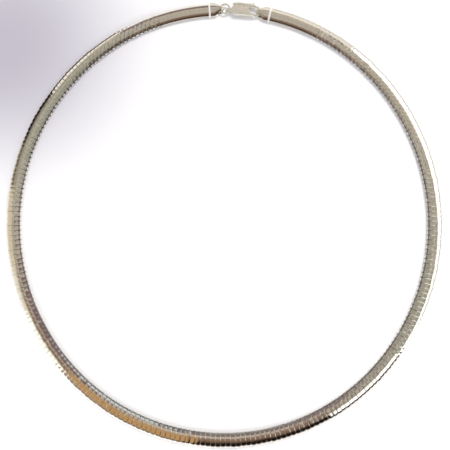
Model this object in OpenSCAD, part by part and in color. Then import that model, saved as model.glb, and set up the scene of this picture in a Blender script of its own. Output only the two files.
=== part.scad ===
// Omega necklace: a stiff, domed collar of silver plates crimped over a woven mesh core,
// closed at the back of the neck by a lobster clasp.
// The collar lies face up on a table. +Z is up, +Y points to the clasp, the wearer's front is -Y.
// The origin is the middle of the loop, on the table.

/* [Loop] */
// Length once round the middle of the band, with the clasp closed
loop_length = 457.2; // [420:0.1:520]
// How much longer than wide the closed loop lies
loop_oval = 3.6; // [1:0.1:8]
// Length of the middle line between the two cap rims, where the clasp sits
clasp_span = 21.4; // [21.3:0.02:21.5]
// How far the middle of the clasp lies beside the back of the loop
clasp_shift = 6.9; // [6.5:0.1:7.3]

/* [Band] */
// Width of the band
band_w = 4.8; // [4.7:0.1:5]
// Height of the band at its crown
band_h = 2.4; // [2.2:0.05:2.6]
// Radius of the domed face
dome_r = 3.0; // [2.9:0.02:3.2]
// Thickness of the sheet that the plates are pressed from
sheet_t = 0.3; // [0.25:0.01:0.35]
// Bevel where a plate turns under
turn_under = 0.35; // [0.2:0.05:0.5]
// Width of each lip that is crimped under the core
lip_w = 1.3; // [1:0.1:1.6]
// Number of plates between the two cap rims
plate_count = 264; // [262:2:266]
// Plates at each end that are soldered stiff to the cap
stiff_count = 11; // [8:1:14]
// Share of the spacing that a plate fills, the rest being the dark joint
plate_share = 0.91; // [0.85:0.01:0.93]
// Clearance between the mesh core and the plates round it
core_gap = 0.15; // [0.12:0.01:0.2]
// Depth of the joint lines where the end plates are soldered
solder_depth = 0.12; // [0.08:0.01:0.18]

/* [End caps] */
// Length of the raised rim of a cap along the band
rim_len = 0.65; // [0.5:0.05:0.8]
// How far the rim stands out over the plates on each side
rim_out = 0.22; // [0.15:0.01:0.25]
// From the middle of the rim to where the cap starts to narrow
cap_len = 2.5; // [2.2:0.1:2.6]
// From the middle of the rim to the middle of the eyelet
eyelet_at = 3.8; // [3.7:0.05:3.9]
// Width of the tongue that is rolled into the eyelet
tongue_w = 1.3; // [1.1:0.05:1.35]
// Radius of the hole in the eyelet
eyelet_r = 0.82; // [0.8:0.01:0.84]
// Thickness of the metal round the eyelet's hole
eyelet_t = 0.38; // [0.34:0.01:0.4]

/* [Jump ring] */
// Diameter of the ring's wire
ring_wire_d = 0.6; // [0.5:0.05:0.65]
// Radius of the ring to the middle of its wire
ring_r = 1.65; // [1.6:0.01:1.7]
// How far the ring's clasp side is lifted
ring_tilt = 5; // [3:1:6]

/* [Clasp] */
// Turn of the clasp as it lies
clasp_turn = -5; // [-5.5:0.1:-4.5]
// Thickness of the clasp's body
body_t = 2.2; // [2:0.05:2.3]
// Thickness of the hook, a round bar
hook_d = 0.86; // [0.8:0.02:0.88]
// Radius of the hook to the middle of its bar
hook_r = 1.55; // [1.5:0.01:1.6]
// Thickness of the lever
lever_t = 0.9; // [0.8:0.05:1]
// Running clearance of the lever on each side in its slot
slot_play = 0.12; // [0.1:0.01:0.15]
// Diameter of the pin that the lever turns on
pin_d = 0.5; // [0.45:0.01:0.55]
// Radial clearance of the pin in its holes
pin_play = 0.03; // [0.02:0.01:0.05]

/* [Hidden] */

// The loop is an oval of four arcs of 90 degrees. The arcs at the sides have the radius side_r
// and the arcs at the front and back have end_r. Each arc's centre lies off the origin by arc_off.
arc_off = loop_oval / 2 / (2 - sqrt(2));
side_r = (loop_length / PI + arc_off * sqrt(2)) / 2;
end_r = (loop_length / PI - arc_off * sqrt(2)) / 2;
half_end = end_r * PI / 4;
side_len = side_r * PI / 2;
end_len = end_r * PI / 2;

// Places on the loop are lengths along its middle line, clockwise from the back as seen from above.
right_rim = clasp_shift + clasp_span / 2;
left_rim = loop_length + clasp_shift - clasp_span / 2;
band_start = right_rim + rim_len / 2;
pitch = (left_rim - right_rim - rim_len) / plate_count;
loose_count = plate_count - 2 * stiff_count;
core_end_gap = 0.3;
core_start = band_start + stiff_count * pitch + core_end_gap;
core_stop = band_start + (plate_count - stiff_count) * pitch - core_end_gap;

dome_z = band_h - dome_r;
eyelet_out = eyelet_r + eyelet_t;
// Heights between which a wire passes on both sides of an eyelet
wire_room = [0.65, 1.75];
solder_over = 0.1;
joint_groove = 0.05;
joint_tongue = 2;

// The two eyelets that the ring and the hook pass through
eyelet_left = spot(left_rim) + eyelet_at * heading(left_rim);
eyelet_right = spot(right_rim) - eyelet_at * heading(right_rim);

// The clasp's own plane: u runs from its eye to its hook, v from its spine to its lever.
// The clasp hangs by its hook: hook_seat leads from the hook's middle to the right eyelet's middle.
clasp_z = 1.2;
eye_at = [-4.15, -0.45];
eye_t = 0.8;
hook_at = [5.05, -0.25];
hook_seat = [1.42, -0.2];
hook_open = 82;
body_mid = eyelet_right - hook_seat - turned(hook_at, clasp_turn);
pivot_at = [2.9, 1.35];
hub_r = 0.6;
gate_w = 0.8;
gate_gap = 0.15;
gate_end = hook_at[0] + hook_r * cos(hook_open) - gate_gap;
slot_h = lever_t + 2 * slot_play;
slot_len = 1.7;

round_fn = 64;
arc_fn = 360;

// The arc that holds a place on the loop: its centre, its radius and its angle clockwise from +Y
function arc_at(s) =
    s < half_end ? [0, arc_off, end_r, s / end_r * 180 / PI]
    : s < half_end + side_len ? [-arc_off, 0, side_r, 45 + (s - half_end) / side_r * 180 / PI]
    : s < half_end + side_len + end_len
        ? [0, -arc_off, end_r, 135 + (s - half_end - side_len) / end_r * 180 / PI]
    : s < half_end + 2 * side_len + end_len
        ? [arc_off, 0, side_r, 225 + (s - half_end - side_len - end_len) / side_r * 180 / PI]
    : [0, arc_off, end_r, 315 + (s - half_end - 2 * side_len - end_len) / end_r * 180 / PI];

// A point in the loop's middle line, seen from above
function spot(s) =
    let (a = arc_at(s))
        [a[0] + a[2] * sin(a[3]), a[1] + a[2] * cos(a[3])];

// The loop's direction at a place, clockwise
function heading(s) =
    let (angle = arc_at(s)[3])
        [cos(angle), -sin(angle)];

// A vector turned about the vertical
function turned(v, angle) =
    [v[0] * cos(angle) - v[1] * sin(angle), v[0] * sin(angle) + v[1] * cos(angle)];

// Lays a band section along the loop from one place to another on the same arc
module sweep(from, to) {
    a = arc_at((from + to) / 2);
    span = (to - from) / a[2] * 180 / PI;
    translate([a[0], a[1], 0])
        rotate(90 - a[3] - span / 2)
            rotate_extrude(angle = span, $fn = arc_fn)
                translate([a[2], 0])
                    children();
}

// Puts a shape at a place on the loop, with +X along the loop clockwise and +Y outward
module place(s) {
    at = spot(s);
    translate([at[0], at[1], 0])
        rotate(-arc_at(s)[3])
            children();
}

// The domed outline of the band, grown by g all round and standing on the table
module dome(g) {
    w = band_w / 2 + g;
    intersection() {
        translate([0, dome_z + g])
            circle(r = dome_r + g, $fn = round_fn);
        polygon([[-w, turn_under], [-w + turn_under, 0], [w - turn_under, 0],
                 [w, turn_under], [w, band_h + 2 * g], [-w, band_h + 2 * g]]);
    }
}

// The hollow under the dome: the outline less a wall all round, down to the lips
module hollow(wall) {
    w = band_w / 2 - wall;
    intersection() {
        translate([0, dome_z])
            circle(r = dome_r - wall, $fn = round_fn);
        translate([-w, wall])
            square([2 * w, band_h]);
    }
}

// A plate's section: sheet over the top, turned under at both edges
module plate_section() {
    slot = band_w / 2 - turn_under - lip_w;
    difference() {
        dome(0);
        hollow(sheet_t);
        translate([-slot, -sheet_t])
            square([2 * slot, 3 * sheet_t]);
    }
}

// A run of loose plates, counted from the right cap's end
module plate_run(first, last) {
    for (i = [first : last])
        sweep(band_start + (i + 0.5 - plate_share / 2) * pitch,
              band_start + (i + 0.5 + plate_share / 2) * pitch)
            plate_section();
}

module plates_right() {
    color("silver")
        plate_run(stiff_count, stiff_count + loose_count / 2 - 1);
}

module plates_left() {
    color("silver")
        plate_run(stiff_count + loose_count / 2, stiff_count + loose_count - 1);
}

// The woven strip that the plates are crimped over. Its arcs stop just short of each other on a slimmer
// tongue, so that no two curved faces graze where they meet.
module mesh_core() {
    joints = [half_end, half_end + side_len, half_end + side_len + end_len,
              half_end + 2 * side_len + end_len];
    stops = concat([core_start], joints, [core_stop]);
    color("gray")
        union() {
            for (i = [0 : len(stops) - 2])
                sweep(stops[i] + joint_groove, stops[i + 1] - joint_groove)
                    hollow(sheet_t + core_gap);
            for (s = joints)
                place(s)
                    translate([-joint_tongue / 2, 0, 0])
                        rotate([90, 0, 90])
                            linear_extrude(joint_tongue)
                                hollow(sheet_t + core_gap + 2 * joint_groove);
        }
}

// The last plates, soldered over a solid filling so that the band is stiff where the cap grips it.
// The filling is shifted towards the rim, so that it reaches into the rim and ends inside the last plate.
module stiff_plates(first, shift) {
    start = band_start + first * pitch;
    sweep(start + shift, start + stiff_count * pitch + shift)
        hollow(solder_depth);
    for (i = [0 : stiff_count - 1])
        sweep(start + (i + 0.5 - plate_share / 2) * pitch,
              start + (i + 0.5 + plate_share / 2) * pitch)
            dome(0);
}

// The cap as seen from above, from the rim at x = 0 to the end of the rolled tongue
module cap_plan() {
    shoulder = 0.7;
    edge = band_w / 2;
    nose = 1.2;
    polygon([[0, -edge - 1], [cap_len - shoulder, -edge - 1], [cap_len - shoulder, -edge],
             [cap_len, -edge + 0.35], [eyelet_at + 0.5, -nose], [eyelet_at + eyelet_out, -tongue_w / 2],
             [eyelet_at + eyelet_out, tongue_w / 2], [eyelet_at + 0.5, nose], [cap_len, edge - 0.35],
             [cap_len - shoulder, edge], [cap_len - shoulder, edge + 1], [0, edge + 1]]);
}

// The cap as seen from the side, rounded at the end by the roll
module cap_side() {
    square([eyelet_at, 2 * band_h]);
    translate([eyelet_at, eyelet_out])
        circle(r = eyelet_out, $fn = round_fn);
}

// The closed cap beyond the plates, its raised rim and its rolled eyelet, pointing along +X.
// The wire that passes through the eyelet has room on both sides between an upper and a lower skin.
module cap_end() {
    wire_from = eyelet_at - eyelet_r;
    difference() {
        union() {
            intersection() {
                rotate([90, 0, 90])
                    linear_extrude(eyelet_at + eyelet_out)
                        dome(0.05);
                linear_extrude(2 * band_h)
                    cap_plan();
                translate([0, band_w, 0])
                    rotate([90, 0, 0])
                        linear_extrude(2 * band_w)
                            cap_side();
            }
            translate([-rim_len / 2, 0, 0])
                rotate([90, 0, 90])
                    linear_extrude(rim_len)
                        dome(rim_out);
        }
        translate([eyelet_at, band_w, eyelet_out])
            rotate([90, 0, 0])
                cylinder(h = 2 * band_w, r = eyelet_r, $fn = round_fn);
        for (side = [-1, 1])
            translate([wire_from, side * (tongue_w + band_w) / 2 - band_w / 2, wire_room[0]])
                cube([band_w, band_w, wire_room[1] - wire_room[0]]);
    }
}

module end_cap_right() {
    color("gainsboro")
        union() {
            stiff_plates(0, -solder_over);
            place(right_rim)
                mirror([1, 0, 0])
                    cap_end();
        }
}

module end_cap_left() {
    color("gainsboro")
        union() {
            stiff_plates(plate_count - stiff_count, solder_over);
            place(left_rim)
                cap_end();
        }
}

// The ring that joins the left cap's eyelet to the clasp's eye
module jump_ring() {
    seat = [-0.05, 0];
    color("silver")
        translate([eyelet_left[0] + seat[0], eyelet_left[1] + seat[1], eyelet_out - 0.05])
            rotate([0, -ring_tilt, 0])
                translate([ring_r, 0, 0])
                    rotate_extrude($fn = round_fn)
                        translate([ring_r, 0])
                            circle(d = ring_wire_d, $fn = round_fn / 2);
}

// Puts a shape in the clasp's own plane, with its middle height at z = 0
module in_clasp() {
    translate([body_mid[0], body_mid[1], clasp_z])
        rotate(clasp_turn)
            children();
}

// The body as seen from above: a straight spine below, a pointed heel and a hollowed nose
module body_plan() {
    difference() {
        polygon([[-2.75, -1.6], [-2.2, -2.05], [3.4, -2.1], [4.6, -2.2], [4.6, -1.4],
                 [3.55, -1.0], [3.55, 1.95], [3.1, 2.15], [-1.2, 2.25], [-2.1, 2.15],
                 [-3.1, 1.75], [-2.75, 0.9], [-3.35, -0.05], [-3.35, -0.85]]);
        translate([4.55, 0.1])
            circle(r = 1.75, $fn = round_fn);
    }
}

// The clasp's body with its eye and its hook, cast in one
module clasp_body() {
    color("silver")
        in_clasp()
            difference() {
                union() {
                    translate([0, 0, -body_t / 2])
                        linear_extrude(body_t)
                            body_plan();
                    translate([hook_at[0], hook_at[1], 0])
                        rotate(-105)
                            rotate_extrude(angle = 105 + hook_open, $fn = round_fn)
                                translate([hook_r, 0])
                                    circle(d = hook_d, $fn = round_fn / 2);
                    translate([eye_at[0], eye_at[1] + eye_t / 2, 0])
                        rotate([90, 0, 0])
                            cylinder(h = eye_t, r = clasp_z, $fn = round_fn);
                }
                translate([eye_at[0], eye_at[1] + eye_t, 0])
                    rotate([90, 0, 0])
                        cylinder(h = 2 * eye_t, r = clasp_z - 0.42, $fn = round_fn);
                lever_slot();
                translate([pivot_at[0], pivot_at[1], -body_t])
                    cylinder(h = 2 * body_t, r = pin_d / 2 + pin_play, $fn = round_fn);
            }
}

// The slot in the body that the lever turns in, open towards the claw and the top
module lever_slot() {
    translate([pivot_at[0] - hub_r - 0.25, pivot_at[1] - hub_r - 0.55, -slot_h / 2])
        cube([slot_len, 2 * body_t, slot_h]);
}

// The lever: a hub on the pin, the gate that shuts the hook and a small thumb tab
module clasp_lever() {
    tab = [4.15, 2.75];
    color("gainsboro")
        in_clasp()
            difference() {
                translate([0, 0, -lever_t / 2])
                    linear_extrude(lever_t)
                        union() {
                            translate(pivot_at)
                                circle(r = hub_r, $fn = round_fn);
                            polygon([[pivot_at[0], pivot_at[1] - gate_w / 2],
                                     [gate_end, pivot_at[1] - gate_w / 2 - 0.02],
                                     [gate_end, pivot_at[1] + gate_w / 2 - 0.02],
                                     [tab[0] + 0.2, pivot_at[1] + gate_w / 2 + 0.15],
                                     [tab[0] + 0.3, tab[1]],
                                     [tab[0] - 0.1, tab[1]],
                                     [tab[0] - 0.35, pivot_at[1] + gate_w / 2 + 0.15],
                                     [pivot_at[0], pivot_at[1] + gate_w / 2]]);
                        }
                translate([pivot_at[0], pivot_at[1], -body_t])
                    cylinder(h = 2 * body_t, r = pin_d / 2 + pin_play, $fn = round_fn);
            }
}

// The riveted pin of the lever
module lever_pin() {
    color("gray")
        in_clasp()
            translate([pivot_at[0], pivot_at[1], -body_t / 2])
                cylinder(h = body_t, d = pin_d, $fn = round_fn);
}

plates_left();
plates_right();
mesh_core();
end_cap_left();
end_cap_right();
jump_ring();
clasp_body();
clasp_lever();
lever_pin();
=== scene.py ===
# %% [markdown]
# # An omega necklace, lying closed on a white table
#
# The necklace is a stiff collar: short domed plates of silver sheet, crimped side by side over a woven
# strip. A lobster clasp closes it at the back of the neck. The solids come from the CAD frame, and this
# script dresses them: it models the plates, the caps and the clasp as a maker would finish them, gives each
# its metal, and lights them the way a phone photo on a white table was lit.

# %% Load the frame
import math
import random

import bmesh
import bpy
from mathutils import Euler, Matrix, Vector


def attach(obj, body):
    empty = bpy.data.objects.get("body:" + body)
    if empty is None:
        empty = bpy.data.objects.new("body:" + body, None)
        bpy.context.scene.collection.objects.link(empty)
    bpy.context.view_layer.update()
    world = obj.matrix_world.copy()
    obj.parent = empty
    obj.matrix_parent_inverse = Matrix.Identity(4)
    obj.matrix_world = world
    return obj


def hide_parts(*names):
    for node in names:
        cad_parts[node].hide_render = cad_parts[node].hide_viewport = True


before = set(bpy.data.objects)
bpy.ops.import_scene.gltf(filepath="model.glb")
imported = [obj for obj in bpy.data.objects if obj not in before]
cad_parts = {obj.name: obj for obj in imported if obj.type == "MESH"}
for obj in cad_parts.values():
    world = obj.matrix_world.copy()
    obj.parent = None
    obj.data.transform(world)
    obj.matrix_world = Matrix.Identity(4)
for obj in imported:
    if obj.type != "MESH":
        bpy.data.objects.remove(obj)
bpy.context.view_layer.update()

MM = 0.001
print("nodes:", sorted(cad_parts))

# %% [markdown]
# ## Small helpers
#
# Colours are easier to read as the hex values that a screen shows, but Blender's sockets want linear
# light, so one function turns the first into the second. A second one adds a shader node with its
# settings and links in one line, and a third turns a finished bmesh into an object that rides on a body.
# Each object stays at the origin, with its place in its mesh, so that nothing moves when it is exported.

# %% Helpers
SHARP = 30  # edges that turn by more degrees than this stay crisp
MIX = {"data_type": "RGBA"}
TIMES = {"operation": "MULTIPLY"}
SMOOTH = {"interpolation_type": "SMOOTHSTEP"}


def colour(hex_value):
    """An sRGB hex colour as linear RGBA."""
    parts = [int(hex_value[i:i + 2], 16) / 255 for i in (1, 3, 5)]
    linear = [c / 12.92 if c <= 0.04045 else ((c + 0.055) / 1.055) ** 2.4 for c in parts]
    return (*linear, 1.0)


def add(tree, kind, settings=None, **inputs):
    """A node of that kind. Inputs are numbers, colours or sockets to link; _ in a name is a space."""
    node = tree.nodes.new(kind)
    for name, value in (settings or {}).items():
        setattr(node, name, value)
    for name, value in inputs.items():
        key = int(name[1:]) if name[0] == "i" and name[1:].isdigit() else name.replace("_", " ")
        if isinstance(value, bpy.types.NodeSocket):
            tree.links.new(value, node.inputs[key])
        else:
            node.inputs[key].default_value = value
    return node


def finish_piece(name, bm, body, material, replaces):
    """Makes the bmesh an object at the origin that rides on its body and stands for the named nodes."""
    mesh = bpy.data.meshes.new(name)
    bm.to_mesh(mesh)
    bm.free()
    for polygon in mesh.polygons:
        polygon.use_smooth = True
    mesh.set_sharp_from_angle(angle=math.radians(SHARP))
    mesh.materials.append(material)
    piece = bpy.data.objects.new(name, mesh)
    bpy.context.scene.collection.objects.link(piece)
    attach(piece, body)
    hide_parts(*replaces)
    triangles = sum(len(p.vertices) - 2 for p in mesh.polygons)
    print(f"{name}: {len(mesh.polygons)} faces, {triangles} triangles")
    return piece


# %% [markdown]
# ## The line that everything lies on
#
# The closed collar isn't a circle: it is a little longer from front to back than from side to side. Four
# arcs that meet without a corner give that oval, two flatter ones at the sides and two rounder ones at
# the front and back. A place on it is a length along the line, clockwise from the back of the neck.

# %% The oval
LOOP_LENGTH = 457.2  # 18 inches
LOOP_OVAL = 3.6  # how much longer the loop is than wide
ARC_OFF = LOOP_OVAL / 2 / (2 - math.sqrt(2))  # how far each arc's centre is off the middle
SIDE_R = (LOOP_LENGTH / math.pi + ARC_OFF * math.sqrt(2)) / 2
END_R = (LOOP_LENGTH / math.pi - ARC_OFF * math.sqrt(2)) / 2


def arc_at(place):
    """The arc that holds a place: its centre, its radius and the angle there, clockwise from +Y."""
    place %= LOOP_LENGTH
    spans = [(END_R * math.pi / 4, 0, (0, ARC_OFF), END_R),
             (SIDE_R * math.pi / 2, 45, (-ARC_OFF, 0), SIDE_R),
             (END_R * math.pi / 2, 135, (0, -ARC_OFF), END_R),
             (SIDE_R * math.pi / 2, 225, (ARC_OFF, 0), SIDE_R),
             (LOOP_LENGTH, 315, (0, ARC_OFF), END_R)]
    for length, start, centre, radius in spans:
        if place <= length:
            return centre, radius, math.radians(start) + place / radius
        place -= length


def frame_at(place):
    """The matrix that puts +X along the loop, +Y outward and +Z up at a place, in metres."""
    centre, radius, angle = arc_at(place)
    spot = Vector((centre[0] + radius * math.sin(angle), centre[1] + radius * math.cos(angle), 0)) * MM
    return Matrix.Translation(spot) @ Matrix.Rotation(-angle, 4, "Z")


print(f"arcs of {SIDE_R:.2f} and {END_R:.2f} mm radius")

# %% [markdown]
# ## The camera
#
# The photo was taken by hand from close above: a wide phone lens about 17 cm over the table, not quite
# over the middle and not quite straight down. The numbers were found by fitting the loop's outline.

# %% Camera
CAMERA_FOOT = (1.56, -16.70)
CAMERA_HEIGHT = 170.55
CAMERA_TILT = (4.72, 0.42)
CAMERA_TURN = -0.85
LENS = 40.0
SENSOR_W = 36
CLIP_NEAR = 0.01

camera = bpy.data.objects.new("camera", bpy.data.cameras.new("camera"))
bpy.context.scene.collection.objects.link(camera)
camera.location = Vector((*CAMERA_FOOT, CAMERA_HEIGHT)) * MM
tilt_x, tilt_y = (math.radians(a) for a in CAMERA_TILT)
turn = Matrix.Rotation(math.radians(CAMERA_TURN), 4, "Z")
look = turn @ Matrix.Rotation(tilt_y, 4, "Y") @ Matrix.Rotation(tilt_x, 4, "X")
camera.rotation_euler = look.to_euler()
camera.data.lens = LENS
camera.data.sensor_width = SENSOR_W
camera.data.clip_start = CLIP_NEAR
bpy.context.scene.camera = camera
print("camera at", [round(c, 4) for c in camera.location])

# %% [markdown]
# ## The table
#
# The table is white and brightly lit, so every steep part of the silver that mirrors it turns white. Only
# its far left corner lies in a soft lavender shade. Its paint is matte: it spreads the daylight and shows
# no mirror image, so one shader with a high roughness and two mixed tints is enough.

# %% Table
TABLE_HALF = 0.6
SHADE_AT = (-0.076, 0.062, 0)
SHADE_CORE, SHADE_REACH = 0.004, 0.072

bm = bmesh.new()
bmesh.ops.create_grid(bm, x_segments=1, y_segments=1, size=TABLE_HALF)
table_mesh = bpy.data.meshes.new("table")
bm.to_mesh(table_mesh)
bm.free()
table = bpy.data.objects.new("table", table_mesh)
bpy.context.scene.collection.objects.link(table)

board = bpy.data.materials.new("matte_white_board")
board.use_nodes = True
tree = board.node_tree
shader = tree.nodes["Principled BSDF"]
shader.inputs["Roughness"].default_value = 0.8
place = add(tree, "ShaderNodeTexCoord").outputs["Object"]
from_shade = add(tree, "ShaderNodeVectorMath", {"operation": "DISTANCE"}, i0=place, i1=SHADE_AT)
shade = add(tree, "ShaderNodeMapRange", SMOOTH, Value=from_shade.outputs["Value"],
            From_Min=SHADE_CORE, From_Max=SHADE_REACH)
tone = add(tree, "ShaderNodeMix", MIX, i0=shade.outputs["Result"],
           i6=colour("#b4b0ba"), i7=colour("#f4f3f3"))
tree.links.new(tone.outputs[2], shader.inputs["Base Color"])
table_mesh.materials.append(board)
print("table:", 2 * TABLE_HALF, "m wide")

# %% [markdown]
# ## The room
#
# A mirror shows the room, so the room is most of this object's look. The part that faces up mirrors a
# beige-grey ceiling. What stands far away is a world shader that changes with direction: it needs no
# geometry. A patch is a thing in the room, given by its compass heading (0 is to the right, 90 to the
# back), by its half width there, and by how far it is tilted down from straight above, from and to.

# %% World
CEILING_ENDS, WALL_STARTS = 0.7, 0.1  # how steeply a direction points up there

world = bpy.data.worlds.new("room")
bpy.context.scene.world = world
world.use_nodes = True
tree = world.node_tree
tree.nodes.clear()
toward = add(tree, "ShaderNodeTexCoord").outputs["Generated"]
height = add(tree, "ShaderNodeSeparateXYZ", Vector=toward).outputs["Z"]
level = add(tree, "ShaderNodeVectorMath", TIMES, i0=toward, i1=(1, 1, 0))
compass = add(tree, "ShaderNodeVectorMath", {"operation": "NORMALIZE"}, i0=level.outputs["Vector"])


def patch(under, tint, heading, reach, tilt_from, tilt_to, soft):
    """Mixes a tint over a colour where a direction is within reach of a heading and between two tilts."""
    way = math.radians(heading)
    ahead = add(tree, "ShaderNodeVectorMath", {"operation": "DOT_PRODUCT"}, i0=compass.outputs["Vector"],
                i1=(math.cos(way), math.sin(way), 0)).outputs["Value"]
    borders = [(ahead, min(reach + soft, 180), reach - soft),
               (height, tilt_from - soft / 2, tilt_from + soft / 2)]
    if tilt_to < 90:
        borders.append((height, tilt_to + soft / 2, tilt_to - soft / 2))
    mask = 1.0
    for value, outside, inside in borders:
        border = add(tree, "ShaderNodeMapRange", SMOOTH, Value=value,
                     From_Min=math.cos(math.radians(outside)), From_Max=math.cos(math.radians(inside)))
        mask = add(tree, "ShaderNodeMath", TIMES, i0=mask, i1=border.outputs["Result"]).outputs["Value"]
    return add(tree, "ShaderNodeMix", MIX, i0=mask, i6=under, i7=colour(tint)).outputs[2]


wall = add(tree, "ShaderNodeMapRange", SMOOTH, Value=height, From_Min=CEILING_ENDS, From_Max=WALL_STARTS)
room = add(tree, "ShaderNodeMix", MIX, i0=wall.outputs["Result"],
           i6=colour("#b8b1a5"), i7=colour("#857c73")).outputs[2]
THINGS = [("#7b6469", 42, 18, 17, 90, 6), ("#cdbbb0", 90, 24, 24, 34, 6), ("#7c706b", 96, 20, 38, 90, 6),
          ("#d3dadb", 62, 14, 46, 90, 6), ("#857478", 122, 10, 20, 90, 6), ("#9d9f93", 331, 26, 4, 90, 8),
          ("#a09e91", 150, 24, 4, 62, 8), ("#5b5045", 300, 17, 38, 90, 6)]
for thing in THINGS:
    room = patch(room, *thing)
print("things in the room:", len(THINGS))

# %% [markdown]
# The room is only for the mirror. Rays that have already bounced off the table, and those that light it,
# see a plain pale sky instead, so that the room's tints neither stain the table nor darken its shadows.

# %% What lights the table
SKY_STRENGTH = 0.72

background = add(tree, "ShaderNodeBackground", Color=room, Strength=1.0)
plain = add(tree, "ShaderNodeBackground", Color=colour("#efeff3"), Strength=SKY_STRENGTH)
path = add(tree, "ShaderNodeLightPath")
direct = add(tree, "ShaderNodeMath", {"operation": "LESS_THAN"}, i0=path.outputs["Diffuse Depth"], i1=0.5)
mirrored = add(tree, "ShaderNodeMath", TIMES, i0=path.outputs["Is Glossy Ray"], i1=direct.outputs["Value"])
both = add(tree, "ShaderNodeMixShader", i0=mirrored.outputs["Value"], i1=plain.outputs["Background"],
           i2=background.outputs["Background"])
add(tree, "ShaderNodeOutputWorld", Surface=both.outputs["Shader"])
print("sky for the table:", SKY_STRENGTH)

# %% [markdown]
# ## What stands near the table
#
# Things close by look different from each side of the loop, so they can't be painted on the sky. They are
# cards, as a jewellery photographer sets them round a mirror. They shine with their own flat colour, only
# mirrors see them, and their colour may change along one axis.

# %% Cards


def shining(name, axis, start, end, stops, strength=1.0):
    """A shining material whose colour changes along an axis. stops are shares of the way, with tints."""
    material = bpy.data.materials.new(name)
    material.use_nodes = True
    tree = material.node_tree
    tree.nodes.clear()
    spot = add(tree, "ShaderNodeSeparateXYZ", Vector=add(tree, "ShaderNodeTexCoord").outputs["Object"])
    share = add(tree, "ShaderNodeMapRange", Value=spot.outputs[axis], From_Min=start, From_Max=end)
    ramp = add(tree, "ShaderNodeValToRGB", Fac=share.outputs["Result"])
    for i, (level, tint) in enumerate(stops):
        stop = ramp.color_ramp.elements[i] if i < 2 else ramp.color_ramp.elements.new(1.0)
        stop.position = level
        stop.color = colour(tint)
    shine = add(tree, "ShaderNodeEmission", Color=ramp.outputs["Color"], Strength=strength)
    add(tree, "ShaderNodeOutputMaterial", Surface=shine.outputs["Emission"])
    return material


def card(name, bm, material):
    """A stage piece that only mirrors see."""
    mesh = bpy.data.meshes.new(name)
    bm.to_mesh(mesh)
    bm.free()
    mesh.materials.append(material)
    thing = bpy.data.objects.new(name, mesh)
    bpy.context.scene.collection.objects.link(thing)
    thing.visible_camera = False
    thing.visible_diffuse = False
    thing.visible_shadow = False
    print(f"{name}: {len(mesh.polygons)} faces")


def swept(one, two, start, end, steps):
    """The surface that a line between two points sweeps round the middle, from one heading to another."""
    bm = bmesh.new()
    line = [bm.verts.new(one), bm.verts.new(two)]
    line.append(bm.edges.new(line))
    bmesh.ops.rotate(bm, verts=bm.verts, cent=(0, 0, 0),
                     matrix=Matrix.Rotation(math.radians(start), 3, "Z"))
    bmesh.ops.spin(bm, geom=line, cent=(0, 0, 0), axis=(0, 0, 1), angle=math.radians(end - start),
                   steps=steps)
    return bm


# %% [markdown]
# A low lip runs round the loop: white at the right, black and cream at the back left, cream at the left
# and black at the front. The steeper a part of the dome is, the lower on the lip it looks, so the bands on
# a lip become lines along the collar. Where bright and dark must meet sharply, a lip stands closer and
# shines more than white, as the overexposed window did.

# %% Lips round the loop
LIP_R = 0.093  # metres from the middle
CLOSE_R = 0.085
BAND_R = 0.074  # where the band itself lies, rounded
MIRROR_H = 0.002  # how high over the table the dome mirrors, rounded
STEP_WIDTH = 4  # degrees
OVEREXPOSED = 1.7  # times white


def lip(name, start, end, reach_down, bands, radius=LIP_R, strength=1.0):
    """An upright card from one heading to another. It hides the room from a tilt on, which reach_down
    says or gives for a heading. bands are pairs of a height in millimetres and a tint."""
    bm = swept((radius, 0, 0), (radius, 0, 1), start, end, max(4, int((end - start) / STEP_WIDTH)))
    for vert in bm.verts:
        heading = math.degrees(math.atan2(vert.co.y, vert.co.x)) % 360
        tilt = reach_down(heading) if callable(reach_down) else reach_down
        vert.co.z *= MIRROR_H + abs(radius - BAND_R) / math.tan(math.radians(tilt))
    top = bands[-1][0]
    stops = [(height / top, tint) for height, tint in bands]
    card(name, bm, shining(name, "Z", 0, top * MM, stops, strength))


TALLEST_AT, TALL_SPREAD = 31, 42  # degrees
REACH_LOW, REACH_GAIN = 60, 44  # degrees of tilt: 60 far from there, 16 at the tallest


def right_reach(heading):
    """The tilt that the right white lip hides from: it stands tallest towards the back right."""
    away = (heading + 180) % 360 - 180 - TALLEST_AT
    return REACH_LOW - REACH_GAIN * math.exp(-(away / TALL_SPREAD) ** 2)


lip("white_lip_right", -28, 52, right_reach,
    [(0, "#26231f"), (1.9, "#26231f"), (2.6, "#ffffff"), (19, "#ffffff"), (27, "#bfb9ae"), (40, "#a09a8e")],
    CLOSE_R, OVEREXPOSED)
lip("white_lip_front_corner", 322.5, 332, right_reach,
    [(0, "#ffffff"), (19, "#ffffff"), (27, "#bfb9ae"), (40, "#a09a8e")], CLOSE_R, OVEREXPOSED)
lip("pale_lip_back_right", 52, 93, lambda h: 30 + 26 * (h - 52) / 41,
    [(0, "#8d8980"), (1.6, "#9a968c"), (2.8, "#eeebe2"), (13, "#e2ddd0"), (24, "#bdb6aa")], CLOSE_R, 1.1)
lip("white_lip_back", 93, 118, 66, [(0, "#ffffff"), (12, "#f4f2ef")])
lip("dark_lip_back", 118, 127, 24,
    [(0, "#1c1916"), (6.5, "#1c1916"), (8.5, "#f7f2e3"), (17, "#f3ecdb"), (22, "#b8b1a5"), (50, "#b8b1a5")])
lip("dark_lip_back_left", 127, 142, 24,
    [(0, "#151210"), (8, "#151210"), (9.5, "#fffbf0"), (28, "#f6f0e2"), (33, "#b8b1a5"), (50, "#b8b1a5")])
lip("dark_lip_left", 142, 158, 35,
    [(0, "#151210"), (13, "#151210"), (17, "#6a6458"), (24, "#857e70"), (29, "#9a9283")])
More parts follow.
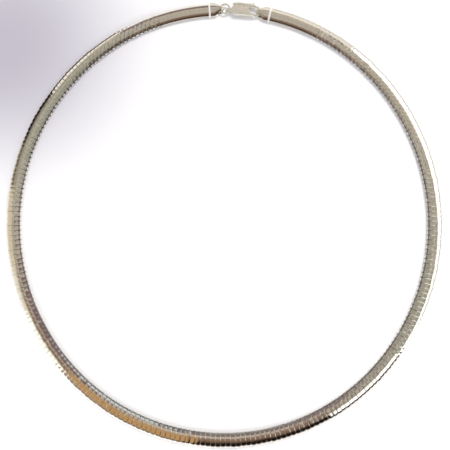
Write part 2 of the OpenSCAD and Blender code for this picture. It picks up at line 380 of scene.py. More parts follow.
lip("dark_lip_far_left", 158, 170, 36,
    [(0, "#d0cabc"), (4, "#a59d8c"), (8, "#6e6656"), (22, "#7b7362"), (28, "#b8ad98")])
lip("cream_lip_left", 170, 191, 14, [(0, "#fbf5e6"), (6, "#e6dcc6"), (14, "#d8ccb4"), (78, "#d6cab0")])
lip("pale_lip_left", 191, 205, 30, [(0, "#fffdf6"), (12, "#efe9db"), (40, "#dbd2bf")])
lip("white_lip_left", 205, 222, 30, [(0, "#ffffff"), (14, "#fffdf8"), (40, "#e6dfd0")], strength=1.2)
lip("black_lip_front", 261.2, 299, 42, [(0, "#8a8178"), (3.5, "#5a5148"), (6, "#120c08"), (24, "#1c130d")])
lip("white_lip_front_right", 299, 322.5, 23,
    [(0, "#0c0b0a"), (8.5, "#0c0b0a"), (10.5, "#ffffff"), (34, "#ffffff"), (42, "#a5a59a")], strength=1.6)

# %% [markdown]
# Inside the loop low lips darken the inner edge with painted shade, for the shade that the inner edge
# mirrors
# there: brown at the back, grey at the left, blue-grey at the front left. An amber card lies flat and close
# over the front left, and a large brown one, darker towards the front, hangs over the front half.

# %% Inner lips, amber card and brown card
INNER_R = 0.058
INNER_REACH = 72
# Painted shade: lips inside the loop, where nothing stands, darken what the inner edge mirrors.
for name, start, end, tint in (("dark_lip_inside_right", -70, 42, "#5f574f"),
                               ("brown_lip_inside_back", 42, 160, "#43372f"),
                               ("grey_lip_inside_left", 160, 222, "#6d696b"),
                               ("blue_lip_inside_front", 222, 264, "#656c75"),
                               ("pale_lip_inside_front", 264, 290, "#a5a4a3")):
    lip(name, start, end, INNER_REACH, [(0, tint), (5, tint)], INNER_R)

AMBER_R = (0.066, 0.15)
AMBER_H = 0.03
AMBER_SPAN = (223, 261.2)
amber = swept((AMBER_R[0], 0, AMBER_H), (AMBER_R[1], 0, AMBER_H), *AMBER_SPAN, 8)
card("amber_card", amber, shining("amber_card", "Z", 0, AMBER_H, [(0, "#bd9768"), (1, "#bd9768")]))

BROWN_H = 0.16
BROWN_FADE = (-0.04, -0.4)
BROWN_CORNERS = [(-0.105, -0.012), (0.028, -0.035), (0.3, -0.65), (-0.36, -0.65)]
brown = bmesh.new()
brown.faces.new([brown.verts.new((x, y, BROWN_H)) for x, y in BROWN_CORNERS])
card("brown_card", brown,
     shining("brown_card", "Y", *BROWN_FADE,
             [(0, "#90796b"), (0.2, "#82695b"), (0.42, "#4e3d31"), (1, "#1a100a")]))

# %% [markdown]
# ## The light
#
# Daylight falls softly from the back right: it leaves short shadows inside the loop, darkest at the right
# and at the back. A weaker window stands at the front right, and a small lamp low at the front left fills
# the shadow outside the loop there. They light the table but aren't mirrored, since the silver shows no
# lamp. The Standard view keeps the white of the table white.

# %% Light


def soft_light(name, place, size, power, tint):
    """An area light that looks at the middle of the table and isn't mirrored."""
    light = bpy.data.objects.new(name, bpy.data.lights.new(name, "AREA"))
    bpy.context.scene.collection.objects.link(light)
    light.location = place
    light.rotation_euler = (-Vector(place)).to_track_quat("-Z", "Y").to_euler()
    light.data.shape = "DISK"
    light.data.size = size
    light.data.energy = power
    light.data.color = colour(tint)[:3]
    light.visible_glossy = False
    print(f"{name}: {power} W, {Vector(place).length:.2f} m away")


soft_light("window", (0.28, 0.50, 0.80), 0.45, 6.0, "#fffdfa")
soft_light("second_window", (0.50, -0.60, 0.62), 0.3, 1.0, "#fbfbff")
soft_light("fill", (-0.13, -0.16, 0.11), 0.1, 0.16, "#ffffff")
bpy.context.scene.view_settings.view_transform = "Standard"

# %% [markdown]
# ## The marks in the silver
#
# All the metal is sterling silver. Only the surface differs with how each piece was made, and that is what
# tells them apart: wheel polishing leaves fine lines across the band, solder and tumbling leave a cloudy
# skin, and the core is woven. Each pattern is a height for a bump. The bump is shallow, since on a mirror a
# slope of one degree already moves the reflection by two.

# %% Marks
ACROSS = 0.3  # mm between polishing lines. Real ones are finer: drawn coarser, so that they can be seen
ACROSS_DEPTH, ACROSS_STRENGTH = 0.01, 0.25
CLOUD_DEPTH = 0.06  # as a share of the clouds' size. Satin grain and shot marks are drawn coarser too
WEAVE = 0.6  # mm between woven wires. Real ones are finer: drawn coarser, so that they can be seen
WEAVE_DEPTH = 0.08


def marks_pattern(tree, place, marks):
    """The height of the marks, their strength and their depth in millimetres. The marks lie across the
    band, are woven, or are clouds of a size in millimetres."""
    if isinstance(marks, float):
        fine = add(tree, "ShaderNodeTexNoise", Vector=place, Scale=1 / (marks * MM), Detail=2.0)
        return fine.outputs["Fac"], 1.0, CLOUD_DEPTH * marks
    spot = add(tree, "ShaderNodeSeparateXYZ", Vector=place)
    turn = add(tree, "ShaderNodeMath", {"operation": "ARCTAN2"},
               i0=spot.outputs["Y"], i1=spot.outputs["X"]).outputs["Value"]
    if marks == "across":
        along = add(tree, "ShaderNodeMath", TIMES, i0=turn, i1=LOOP_LENGTH / math.tau / ACROSS)
        fine = add(tree, "ShaderNodeTexNoise", {"noise_dimensions": "1D"}, W=along.outputs["Value"],
                   Detail=2.0)
        return fine.outputs["Fac"], ACROSS_STRENGTH, ACROSS_DEPTH
    outward = add(tree, "ShaderNodeVectorMath", {"operation": "LENGTH"}, i0=place).outputs["Value"]
    waves = []
    for value, rate in ((turn, LOOP_LENGTH / WEAVE), (outward, math.tau / (WEAVE * MM))):
        swing = add(tree, "ShaderNodeMath", TIMES, i0=value, i1=rate).outputs["Value"]
        waves.append(add(tree, "ShaderNodeMath", {"operation": "SINE"}, i0=swing).outputs["Value"])
    woven = add(tree, "ShaderNodeMath", TIMES, i0=waves[0], i1=waves[1])
    return woven.outputs["Value"], 1.0, WEAVE_DEPTH


print(f"polishing lines every {ACROSS} mm, woven wires every {WEAVE} mm")

# %% [markdown]
# ## Five finishes of silver
#
# Silver is a metal, so its colour is in its reflection, a touch warm. The roughness wanders between worn
# and fresh places: a mirror of one even roughness looks like plastic film. Where a surface is too rough or
# too oxidised to act as one mirror, a part of the light scatters, and a lower metallic stands for it.

# %% Silver
WORN_AREA = 3  # worn and fresh places are about 3 mm across
WORN_RANGE = (0.7, 1.5)  # how the roughness wanders round its typical value
WARM = "#f6f1e8"


def silver(name, tint, roughness, marks, metallic=1.0):
    """Silver whose roughness wanders a little and that bears the marks of its making."""
    material = bpy.data.materials.new(name)
    material.use_nodes = True
    tree = material.node_tree
    shader = tree.nodes["Principled BSDF"]
    shader.inputs["Metallic"].default_value = metallic
    place = add(tree, "ShaderNodeTexCoord").outputs["Object"]
    cloud = add(tree, "ShaderNodeTexNoise", Vector=place, Scale=1 / (WORN_AREA * MM), Detail=3.0)
    warm = add(tree, "ShaderNodeMix", {**MIX, "blend_type": "MULTIPLY"}, i0=cloud.outputs["Fac"],
               i6=colour(tint), i7=colour(WARM))
    tree.links.new(warm.outputs[2], shader.inputs["Base Color"])
    rough = add(tree, "ShaderNodeMapRange", Value=cloud.outputs["Fac"],
                To_Min=roughness * WORN_RANGE[0], To_Max=roughness * WORN_RANGE[1])
    tree.links.new(rough.outputs["Result"], shader.inputs["Roughness"])
    height, strength, depth = marks_pattern(tree, place, marks)
    bump = add(tree, "ShaderNodeBump", Strength=strength, Distance=depth * MM, Height=height)
    tree.links.new(bump.outputs["Normal"], shader.inputs["Normal"])
    print(f"{name}: roughness {roughness}, marks {marks}")
    return material


# Pressed sheet, polished on a wheel: nearly a mirror, and fine lines across the band blur it a little.
plate_silver = silver("polished_sheet_silver", "#f8f6f2", 0.11, "across")
# Sheet that solder has run over, polished again: the mirror is a little wavy, so its lines waver.
solder_silver = silver("polished_soldered_silver", "#f8f6f2", 0.13, 0.9)
# The rim keeps the satin skin that the pickling acid left: it stays white from all sides.
rim_silver = silver("satin_rim_silver", "#ffffff", 0.35, 0.3, 0.4)
# Cast and tumbled with steel shot: small soft dimples, so the reflections are broad and milky.
cast_silver = silver("tumbled_cast_silver", "#f7f6ee", 0.2, 0.25, 0.8)
# Woven wire in a fine check, a little brighter where wires cross. Its dull grey is painted shade for the
# gaps between plates.
shaded_core_silver = silver("shade_darkened_woven_silver_wire", "#6e6a64", 0.5, "weave", 0.6)

# %% [markdown]
# ## The plate's section
#
# Each plate is a strip of sheet pressed into a dome and turned under at both edges. Its section is drawn
# from one point: the point is spun into the dome's arc, and a few more points lead down the sides and
# under the core. The sizes are those of the CAD source.

# %% The plate's section
BAND_W = 4.8
BAND_H = 2.4
DOME_R = 3.0
TURN_UNDER = 0.35
LIP_W = 1.3
CORNER = math.radians(1.5)  # the dome stops this short of the side, so that the corner is eased


def fresh(geom, kind):
    """Those parts of an operator's result that are of one kind."""
    return [g for g in geom if isinstance(g, kind)]


def section(bm, steps, grow=0.0, lip=LIP_W):
    """The plate's outer section in the YZ plane, as an open line of edges from lip to lip."""
    half = BAND_W / 2 + grow
    radius = DOME_R + grow
    centre = BAND_H - DOME_R
    rise = math.asin(half / radius) - CORNER
    start = bm.verts.new((0, -radius * math.sin(rise), centre + radius * math.cos(rise)))
    arc = bmesh.ops.spin(bm, geom=[start], cent=(0, 0, centre), axis=(-1, 0, 0), angle=2 * rise,
                         steps=steps, use_merge=False)
    end = fresh(arc["geom_last"], bmesh.types.BMVert)[0]
    side_top = centre + math.sqrt(radius ** 2 - half ** 2)
    for vert, side in ((start, -1), (end, 1)):
        for y, z in ((half, side_top), (half, TURN_UNDER), (half - TURN_UNDER, 0),
                     (half - TURN_UNDER - lip, 0)):
            new = bm.verts.new((0, side * y, z))
            bm.edges.new((vert, new))
            vert = new
    return bm


print(f"section: {BAND_W} x {BAND_H} mm under a dome of {DOME_R} mm radius")

# %% [markdown]
# ## One plate
#
# The press eases each plate's long edges, so it looks like a tiny cushion, and the plates taper towards
# the inside of the loop, where there is less room. A plate is repeated hundreds of times, so it has only
# a few dozen faces: the section is extruded along the band in four strips, and the sheet's cut edge is
# turned in at both ends.

# %% One plate
PLATE_COUNT = 264
STIFF_COUNT = 11  # plates that are soldered stiff at each end
CLASP_SPAN = 21.4
CLASP_SHIFT = 6.9
RIM_LEN = 0.65
RIGHT_RIM = CLASP_SHIFT + CLASP_SPAN / 2
LEFT_RIM = LOOP_LENGTH + CLASP_SHIFT - CLASP_SPAN / 2
BAND_START = RIGHT_RIM + RIM_LEN / 2
PITCH = (LEFT_RIM - RIGHT_RIM - RIM_LEN) / PLATE_COUNT
PLATE_FILL = 0.965  # the rest of the pitch is the joint
PLATE_LEN = PITCH * PLATE_FILL
DOME_STEPS = 6
CROWN = 0.035
EASE, EASE_DROP = 0.07, 0.7  # how far from its end a plate is eased, and by what share of that it drops
CUT_EDGE = 0.28
TAPER, TAPER_FROM, TAPER_OVER = 0.36, 1.75, 0.6  # share of the length, and where across the band
MIDDLE = Vector((0, 0, BAND_H * 0.3))  # the point that sections are drawn in towards


def plate_bmesh():
    """A plate at the origin, along X, with a slight crown, eased ends and the sheet's cut edge."""
    bm = bmesh.new()
    section(bm, DOME_STEPS)
    rest = [v.co.copy() for v in bm.verts]
    half = PLATE_LEN / 2
    low = CROWN + EASE * EASE_DROP
    stations = [(-half, low), (-half + EASE, CROWN), (0, 0), (half - EASE, CROWN), (half, low)]

    def settle(verts, x, fall):
        """Moves a section's points to a station, drawn in towards the middle and tapered."""
        for vert in verts:
            home = min(rest, key=lambda p: (p.y - vert.co.y) ** 2 + (p.z - vert.co.z) ** 2)
            vert.co = home + (MIDDLE - home).normalized() * fall
            inner = min(max((-home.y - TAPER_FROM) / TAPER_OVER, 0), 1)
            vert.co.x = x * (1 - inner * TAPER)

    first = current = list(bm.edges)
    settle(bm.verts, *stations[0])
    for x, fall in stations[1:]:
        grown = bmesh.ops.extrude_edge_only(bm, edges=current)["geom"]
        settle(fresh(grown, bmesh.types.BMVert), x, fall)
        current = fresh(grown, bmesh.types.BMEdge)
    for line in (first, current):
        seen = [e for e in line if max(v.co.z for v in e.verts) > TURN_UNDER + 0.1]
        grown = bmesh.ops.extrude_edge_only(bm, edges=seen)["geom"]
        for vert in fresh(grown, bmesh.types.BMVert):
            vert.co += (MIDDLE - Vector((0, vert.co.y, vert.co.z))).normalized() * CUT_EDGE
    bmesh.ops.recalc_face_normals(bm, faces=bm.faces)
    return bm


def bend(bm, radius):
    """Bends a piece that lies along X so that it follows an arc of that radius."""
    for vert in bm.verts:
        angle = vert.co.x / radius
        reach = radius + vert.co.y
        vert.co.x = reach * math.sin(angle)
        vert.co.y = reach * math.cos(angle) - radius
    return bm


def as_mesh(name, bm):
    """A bmesh in millimetres as a mesh in metres."""
    bmesh.ops.scale(bm, vec=(MM, MM, MM), verts=bm.verts)
    mesh = bpy.data.meshes.new(name)
    bm.to_mesh(mesh)
    bm.free()
    return mesh


plates = {radius: as_mesh("plate", bend(plate_bmesh(), radius)) for radius in (SIDE_R, END_R)}
print("one plate has", len(plates[END_R].polygons), "faces and is", round(PLATE_LEN, 3), "mm long")

# %% [markdown]
# ## The run of plates
#
# The plates are copied along the oval. No two sit exactly alike on a real collar, so each is rocked by
# about a degree, from a seeded draw: that is what breaks the reflections into small steps. A plate that
# is rocked into the table is lifted back onto it.

# %% Lay the plates
ROCK = 1.2  # degrees
ROCK_SHARES = (1, 1, 0.3)  # about the band, across it, and upright


def run_of_plates(first, last, seed):
    """The plates from one number to another, each rocked a little, as one bmesh."""
    draw = random.Random(seed)
    bm = bmesh.new()
    lift = Matrix.Translation((0, 0, BAND_H / 2 * MM))
    for i in range(first, last):
        place = BAND_START + (i + 0.5) * PITCH
        copy = plates[arc_at(place)[1]].copy()
        rock = Euler([math.radians(draw.gauss(0, ROCK)) * k for k in ROCK_SHARES]).to_matrix().to_4x4()
        copy.transform(frame_at(place) @ lift @ rock @ lift.inverted())
        sunk = min(v.co.z for v in copy.vertices)
        copy.transform(Matrix.Translation((0, 0, max(0.0, -sunk))))
        bm.from_mesh(copy)
        bpy.data.meshes.remove(copy)
    return bm


HALF = (PLATE_COUNT - 2 * STIFF_COUNT) // 2
finish_piece("collar_plates_right", run_of_plates(STIFF_COUNT, STIFF_COUNT + HALF, 11), "collar",
             plate_silver, ["plates_right"])
finish_piece("collar_plates_left", run_of_plates(STIFF_COUNT + HALF, PLATE_COUNT - STIFF_COUNT, 12),
             "collar", plate_silver, ["plates_left"])

# %% [markdown]
# ## Solid shapes
#
# The caps and the clasp are solid, so they are made as closed shapes: an outline is pulled through a few
# stations, or grown upwards with its edges rounded over, and holes are cut with a boolean, as a drill and
# a saw would cut them. A boolean needs closed shapes on both sides.

# %% Shape helpers
ROUND = 48
CUTTER = 4.4  # long enough to cut right through the clasp's body


def loft(bm, stations, shape):
    """Extrudes the bmesh's line of edges through stations. shape(home, station) places each point."""
    layer = bm.verts.layers.int["home"]
    homes = []
    for i, vert in enumerate(bm.verts):
        vert[layer] = i
        homes.append(vert.co.copy())
    line, verts = list(bm.edges), list(bm.verts)
    for i, station in enumerate(stations):
        if i:
            grown = bmesh.ops.extrude_edge_only(bm, edges=line)["geom"]
            line, verts = fresh(grown, bmesh.types.BMEdge), fresh(grown, bmesh.types.BMVert)
        for vert in verts:
            vert.co = shape(homes[vert[layer]], station)
    return bm


def closed(bm):
    """Fills the open ends of a loft and turns its faces outwards."""
    bmesh.ops.remove_doubles(bm, verts=bm.verts, dist=1e-4)
    bmesh.ops.holes_fill(bm, edges=[e for e in bm.edges if e.is_boundary], sides=0)
    bmesh.ops.recalc_face_normals(bm, faces=bm.faces)
    return bm


def full_section(grow, steps=16):
    """The band's whole outline, closed along the underside."""
    bm = bmesh.new()
    bm.verts.layers.int.new("home")
    section(bm, steps, grow, BAND_W / 2 + grow - TURN_UNDER)
    bmesh.ops.remove_doubles(bm, verts=bm.verts, dist=1e-4)
    return bm


def combine(bm, other, operation="DIFFERENCE"):
    """The bmesh cut by, or joined with, another one."""
    things = []
    for part in (bm, other):
        mesh = bpy.data.meshes.new("part")
        part.to_mesh(mesh)
        part.free()
        things.append(bpy.data.objects.new("part", mesh))
        bpy.context.scene.collection.objects.link(things[-1])
    boolean = things[0].modifiers.new("boolean", "BOOLEAN")
    boolean.operation = operation
    boolean.solver = "EXACT"
    boolean.object = things[1]
    result = bmesh.new()
    result.from_object(things[0], bpy.context.evaluated_depsgraph_get())
    for thing in things:
        bpy.data.objects.remove(thing)
    return result


def rod(radius, length, matrix):
    """A round bar or drill."""
    bm = bmesh.new()
    bmesh.ops.create_cone(bm, cap_ends=True, segments=ROUND, radius1=radius, radius2=radius, depth=length,
                          matrix=matrix)
    return bm


def block(low, high):
    """A box between two corners, as a saw's cut."""
    bm = bmesh.new()
    bmesh.ops.create_cube(bm, size=1.0)
    size = Vector(high) - Vector(low)
    bmesh.ops.scale(bm, vec=size, verts=bm.verts)
    bmesh.ops.translate(bm, vec=Vector(low) + size / 2, verts=bm.verts)
    return bm


def placed(bm, matrix):
    """A bmesh in millimetres, put in its place in metres. A mirrored one is turned right side out."""
    mesh = as_mesh("part", bm)
    mesh.transform(matrix)
    if matrix.determinant() < 0:
        mesh.flip_normals()
    whole = bmesh.new()
    whole.from_mesh(mesh)
    bpy.data.meshes.remove(mesh)
    return whole


# %% [markdown]
# ## Flat shapes
#
# The casting and the stamped lever both start as an outline seen from above. It is filled, grown to its
# thickness, and then each of its two faces is inset in a few steps, every step less outward and more
# inward than the last. That rounds the edge over, as tumbling does.

# %% Flat shapes with rounded edges


def outline(points):
    """A closed line through points in the XY plane."""
    bm = bmesh.new()
    verts = [bm.verts.new((x, y, 0)) for x, y in points]
    for one, two in zip(verts, verts[1:] + verts[:1]):
        bm.edges.new((one, two))
    return bm


def arc_points(centre, radius, start, end, steps):
    """Points on an arc, from one angle in degrees to another."""
    angles = [math.radians(start + (end - start) * i / steps) for i in range(steps + 1)]
    return [(centre[0] + radius * math.cos(a), centre[1] + radius * math.sin(a)) for a in angles]


def slab(bm, thickness, edge_r, steps):
    """Grows a flat outline in the XY plane into a slab round z = 0 with rounded upper and lower edges."""
    bmesh.ops.holes_fill(bm, edges=bm.edges, sides=0)
    bmesh.ops.translate(bm, vec=(0, 0, edge_r - thickness / 2), verts=bm.verts)
    base = list(bm.faces)
    grown = bmesh.ops.extrude_face_region(bm, geom=base)["geom"]
    top = fresh(grown, bmesh.types.BMFace)
    bmesh.ops.translate(bm, vec=(0, 0, thickness - 2 * edge_r), verts=fresh(grown, bmesh.types.BMVert))
    bmesh.ops.recalc_face_normals(bm, faces=bm.faces)
    for face in (top[0], base[0]):
        for i in range(steps):
            turns = [math.pi / 2 * k / steps for k in (i, i + 1)]
            inward = edge_r * (math.cos(turns[0]) - math.cos(turns[1]))
            outward = edge_r * (math.sin(turns[1]) - math.sin(turns[0]))
            bmesh.ops.inset_region(bm, faces=[face], thickness=inward, depth=outward,
                                   use_even_offset=True, use_boundary=True)
    return bm


# %% [markdown]
# ## The soldered plates and the rim
#
# A cap grips the last plates. Solder has run into the joints of the last eleven, so these are one bar with
# shallow grooves, lofted straight and then bent to the loop. The raised rim is a half round bead: the
# band's outline is pulled through a half turn and shrinks to both sides. The bar reaches a little way into
# the rim, so that no gap shows between them.

# %% Soldered plates and rim
RIM_OUT = 0.22
RIM_STEP = 20  # degrees
RIM_MIDDLE = Vector((0, 0, BAND_H * 0.4))
RIM_BITE = 0.2
GROOVE = 0.08
GROOVE_DEPTH = 0.07


def stiff_bar():
    """The soldered plates along X, bent to the loop, with the cap's rim at their -X end."""
    length = STIFF_COUNT * PITCH
    start = -length / 2
    stations = [(start - RIM_BITE, GROOVE_DEPTH), (start + GROOVE / 2, GROOVE_DEPTH), (start + GROOVE, 0.0)]
    for i in range(1, STIFF_COUNT):
        x = start + i * PITCH
        stations += [(x - GROOVE, 0.0), (x - GROOVE / 2, GROOVE_DEPTH),
                     (x + GROOVE / 2, GROOVE_DEPTH), (x + GROOVE, 0.0)]
    stations.append((length / 2 - GROOVE, 0.0))

    def shape(home, station):
        spot = home + (MIDDLE - home).normalized() * station[1]
        return Vector((station[0], spot.y, spot.z))

    return bend(closed(loft(full_section(0.0), stations, shape)), END_R)


def rim():
    """The bead round the cap's mouth."""
    turns = [math.radians(a) for a in range(-90, 91, RIM_STEP)]

    def shape(home, turn):
        spot = home + (RIM_MIDDLE - home).normalized() * RIM_OUT * (1 - math.cos(turn))
        return Vector((RIM_LEN / 2 * math.sin(turn), spot.y, spot.z))

    return closed(loft(full_section(RIM_OUT), turns, shape))


print(f"soldered bar: {STIFF_COUNT * PITCH:.2f} mm long")

# %% [markdown]
# ## The cap's nose
#
# The cap keeps the band's width for a short way and then narrows like a cone to a tongue, which is rolled
# into an eyelet. So the outline is pulled through stations that say how wide and how tall it is there, and
# the end follows the eyelet's round. The eyelet is drilled, and a saw cut on each side leaves the tongue.

# %% Cap's nose
EYELET_AT = 3.8
EYELET_R = 0.82
EYELET_OUT = 1.2
TONGUE_W = 1.3
WIRE_ROOM = (0.65, 1.75)  # from which height to which the ring's wire has room
CAP_GROW = 0.05
NOSE_WIDTHS = ((0.0, 1.0), (1.5, 1.0), (1.8, 0.985), (2.15, 0.93), (2.5, 0.86), (3.1, 0.745), (3.8, 0.61))
END_TURNS = (20, 40, 58, 74, 87)
END_NARROWING = 0.3


def cap_nose():
    """The cap and its eyelet along +X, from the rim at x = 0."""
    stations = [(x, wide, 1.0) for x, wide in NOSE_WIDTHS]
    for turn in END_TURNS:
        ahead = EYELET_OUT * math.sin(math.radians(turn))
        stations.append((EYELET_AT + ahead, NOSE_WIDTHS[-1][1] - END_NARROWING * ahead,
                         math.cos(math.radians(turn))))

    def shape(home, station):
        x, wide, tall = station
        return Vector((x, home.y * wide, EYELET_OUT + (home.z - EYELET_OUT) * tall))

    nose = closed(loft(full_section(CAP_GROW), stations, shape))
    across = Matrix.Translation((EYELET_AT, 0, EYELET_OUT)) @ Matrix.Rotation(math.pi / 2, 4, "X")
    nose = combine(nose, rod(EYELET_R, 2 * BAND_W, across))
    for side in (-1, 1):
        near, far = sorted((side * TONGUE_W / 2, side * BAND_W))
        room = block((EYELET_AT - EYELET_R, near, WIRE_ROOM[0]), (EYELET_AT + 2, far, WIRE_ROOM[1]))
        nose = combine(nose, room)
    return nose


print(f"cap's nose: {EYELET_AT + EYELET_OUT:.2f} mm long")

# %% [markdown]
# ## The end caps
#
# Nose, bar and rim are joined into one solid, because they are soldered. The rim gets the satin silver,
# and the soldered plates at the right, whose solder shows in the photo, get the wavy one.

# %% End caps
MIRROR_X = Matrix.Scale(-1, 4, (1, 0, 0))
for side, rim_place, middle, turn in (
        ("right", RIGHT_RIM, BAND_START + STIFF_COUNT * PITCH / 2, MIRROR_X),
        ("left", LEFT_RIM, BAND_START + (PLATE_COUNT - STIFF_COUNT / 2) * PITCH, Matrix.Identity(4))):
    at_rim = frame_at(rim_place) @ turn
    bar = placed(stiff_bar(), frame_at(middle) @ turn @ MIRROR_X)
    cap = combine(placed(cap_nose(), at_rim), bar, "UNION")
    cap = combine(cap, placed(rim(), at_rim), "UNION")
    piece = finish_piece("cap_" + side, cap, "collar", plate_silver, ["end_cap_" + side])
    piece.data.materials.append(rim_silver)
    piece.data.materials.append(solder_silver)
    to_rim = at_rim.inverted()
    for polygon in piece.data.polygons:
        x = (to_rim @ polygon.center).x / MM
        if abs(x) < RIM_LEN / 2:
            polygon.material_index = 1
        elif x < 0 and side == "right":
            polygon.material_index = 2

# %% [markdown]
# ## The jump ring
#
# A ring of round wire: a small circle spun once round. It passes through the left cap's eyelet and the
# clasp's eye, so one side lies low in the eyelet and the other is lifted a little.

# %% Jump ring
RING_R = 1.65
WIRE_R = 0.3
WIRE_SIDES = 16
RING_TILT = math.radians(5)
RING_SLACK = 0.05


def wire_loop(centre, radius, wire_r, start, end, steps):
    """Round wire bent round the Z axis of a centre, from one angle to another, open or a whole ring."""
    bm = bmesh.new()
    bmesh.ops.create_circle(bm, segments=WIRE_SIDES, radius=wire_r,
                            matrix=Matrix.Translation((radius, 0, 0)) @ Matrix.Rotation(math.pi / 2, 4, "X"))
    bmesh.ops.rotate(bm, verts=bm.verts, cent=(0, 0, 0), matrix=Matrix.Rotation(math.radians(start), 3, "Z"))
    bmesh.ops.spin(bm, geom=[*bm.verts, *bm.edges], cent=(0, 0, 0), axis=(0, 0, 1),
                   angle=math.radians(end - start), steps=steps, use_merge=end - start == 360)
    bmesh.ops.translate(bm, vec=(*centre, 0), verts=bm.verts)
    return closed(bm)


eyelet_left = frame_at(LEFT_RIM) @ Vector((EYELET_AT * MM, 0, 0))
ring_place = (Matrix.Translation(eyelet_left + Vector((-RING_SLACK, 0, EYELET_OUT - RING_SLACK)) * MM)
              @ Matrix.Rotation(-RING_TILT, 4, "Y") @ Matrix.Translation((RING_R * MM, 0, 0)))
finish_piece("silver_jump_ring", placed(wire_loop((0, 0), RING_R, WIRE_R, 0, 360, ROUND), ring_place),
             "collar", cast_silver, ["jump_ring"])

# %% [markdown]
# ## Where the clasp lies
#
# The hook's seat has to lie in the right cap's eyelet. So the clasp's own frame is worked back from the
# eyelet: X runs along the clasp, from its eye at the left to its hook at the right, and Z is up.

# %% Clasp's frame
CLASP_TURN = math.radians(-5)
CLASP_Z = 1.2
HOOK_AT = (5.05, -0.25)
HOOK_SEAT = (1.42, -0.2)

eyelet_right = frame_at(RIGHT_RIM) @ Vector((-EYELET_AT * MM, 0, 0))
hook_offset = Matrix.Rotation(CLASP_TURN, 4, "Z") @ Vector((*HOOK_AT, 0))
body_mid = eyelet_right - (Vector((*HOOK_SEAT, 0)) + hook_offset) * MM
IN_CLASP = Matrix.Translation(body_mid + Vector((0, 0, CLASP_Z * MM))) @ Matrix.Rotation(CLASP_TURN, 4, "Z")
print("clasp's middle at", [round(c, 4) for c in body_mid])

# %% [markdown]
# ## The clasp's body
#
# A lobster clasp is cast, tumbled and polished, so all its edges are round. Its outline is drawn from
# above: a straight spine, a pointed heel and a nose that is hollowed for the claw. The outline grows
# into a slab with edges rounded over in four steps, and its faces are cut into a grid, so that the top can
# be crowned a little. The hook is round wire, the eye a flat ring, and the slot for the lever and the
# hole for its pin are cut last.

# %% Clasp body
BODY_T = 2.2
BODY_EDGE = 0.2
BODY_CROWN = 0.16
BODY_HALF_W = 2.2
GRID_X, GRID_Y = 0.6, 0.4
EYE_AT = (-4.15, -0.45)
EYE_T = 0.8
EYE_WALL = 0.42
EYE_EDGE = 0.13
HOOK_R = 1.55
HOOK_WIRE_R = 0.43
HOOK_BEND = (-105, 82)
PIVOT_AT = (2.9, 1.35)
HUB_R = 0.6
LEVER_T = 0.9
SLOT_PLAY = 0.12
SLOT_LEN = 1.7
PIN_R = 0.25
PIN_PLAY = 0.03
SPINE = [(-2.75, -1.6), (-2.2, -2.05), (3.4, -2.1), (4.6, -2.2)]
NOSE_HOLLOW = arc_points((4.55, 0.1), 1.75, 271.6, 124.9, 16)
LEVER_SIDE = [(3.55, 1.95), (3.1, 2.15), (-1.2, 2.25), (-2.1, 2.15)]
HEEL = [(-3.1, 1.75), (-2.75, 0.9), (-3.35, -0.05), (-3.35, -0.85)]


def eye_ring():
    """The eye, a ring with its axis along Y: a rectangle with eased corners, spun once round."""
    bm = bmesh.new()
    corners = ((CLASP_Z - EYE_WALL, -1), (CLASP_Z, -1), (CLASP_Z, 1), (CLASP_Z - EYE_WALL, 1))
    bm.faces.new([bm.verts.new((x, side * EYE_T / 2, 0)) for x, side in corners])
    bmesh.ops.bevel(bm, geom=list(bm.verts), affect="VERTICES", offset=EYE_EDGE, segments=3, profile=0.5,
                    material=-1)
    bmesh.ops.delete(bm, geom=list(bm.faces), context="FACES_ONLY")
    bmesh.ops.spin(bm, geom=[*bm.verts, *bm.edges], cent=(0, 0, 0), axis=(0, 1, 0),
                   angle=math.tau, steps=ROUND, use_merge=True)
    bmesh.ops.translate(bm, vec=(*EYE_AT, 0), verts=bm.verts)
    return closed(bm)


def crowned(bm):
    """Cuts the slab's faces into a grid and lowers them towards its long sides."""
    cuts = [((i * GRID_X, 0, 0), (1, 0, 0)) for i in range(-5, 8)]
    cuts += [((0, i * GRID_Y, 0), (0, 1, 0)) for i in range(-5, 6)]
    for spot, way in cuts:
        bmesh.ops.bisect_plane(bm, geom=[*bm.verts, *bm.edges, *bm.faces], plane_co=spot, plane_no=way)
    for vert in bm.verts:
        vert.co.z *= 1 - BODY_CROWN * (vert.co.y / BODY_HALF_W) ** 2
    return bm


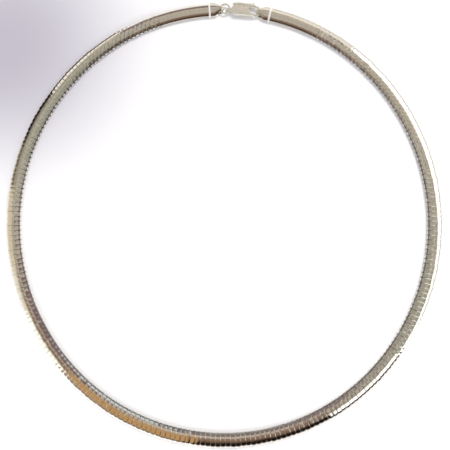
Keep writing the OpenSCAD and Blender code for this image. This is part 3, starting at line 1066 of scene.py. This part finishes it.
body = crowned(slab(outline([*SPINE, *NOSE_HOLLOW, *LEVER_SIDE, *HEEL]), BODY_T, BODY_EDGE, 4))
body = combine(body, wire_loop(HOOK_AT, HOOK_R, HOOK_WIRE_R, *HOOK_BEND, 32), "UNION")
body = combine(body, eye_ring(), "UNION")
slot_half = LEVER_T / 2 + SLOT_PLAY
slot_low = (PIVOT_AT[0] - HUB_R - 0.25, PIVOT_AT[1] - HUB_R - 0.55)
slot_high = (slot_low[0] + SLOT_LEN, slot_low[1] + CUTTER)
body = combine(body, block((*slot_low, -slot_half), (*slot_high, slot_half)))
body = combine(body, rod(PIN_R + PIN_PLAY, CUTTER, Matrix.Translation((*PIVOT_AT, 0))))
finish_piece("cast_clasp", placed(body, IN_CLASP), "collar", cast_silver, ["clasp_body"])

# %% [markdown]
# ## The lever and its pin
#
# The lever is the gate that shuts the hook. It is stamped flat: a round hub on the pin, a straight gate and
# a small tab for the thumbnail. The pin is a rivet whose ends are hammered slightly round. The lever alone
# rides on its own body, so it turns in the slot when the joint moves.

# %% Lever and pin
GATE_END = 5.116
LEVER_EDGE = 0.1
PIN_DOME = 0.09
hub = arc_points(PIVOT_AT, HUB_R, 48.4, 318.2, 20)
gate = [(GATE_END, 0.93), (GATE_END, 1.73)]
thumb_tab = [(4.35, 1.9), (4.38, 2.3), (4.45, 2.75), (4.05, 2.75), (3.93, 2.3), (3.8, 1.9)]
lever = slab(outline([*hub, *gate, *thumb_tab]), LEVER_T, LEVER_EDGE, 2)
lever = combine(lever, rod(PIN_R + PIN_PLAY, CUTTER, Matrix.Translation((*PIVOT_AT, 0))))
finish_piece("thumb_lever", placed(lever, IN_CLASP), "lever", cast_silver, ["clasp_lever"])

pin = rod(PIN_R, BODY_T, Matrix.Translation((*PIVOT_AT, 0)))
ends = [e for e in pin.edges if abs(e.verts[0].co.z - e.verts[1].co.z) < 1e-5]
bmesh.ops.bevel(pin, geom=ends, affect="EDGES", offset=PIN_DOME, segments=3, profile=0.5, material=-1)
finish_piece("rivet_pin", placed(pin, IN_CLASP), "collar", cast_silver, ["lever_pin"])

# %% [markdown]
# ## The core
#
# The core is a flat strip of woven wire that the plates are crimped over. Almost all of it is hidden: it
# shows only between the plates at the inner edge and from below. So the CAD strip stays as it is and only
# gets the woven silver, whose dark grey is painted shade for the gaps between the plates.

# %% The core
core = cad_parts["mesh_core"]
core.data.materials.clear()
core.data.materials.append(shaded_core_silver)
print("core:", len(core.data.polygons), "triangles")
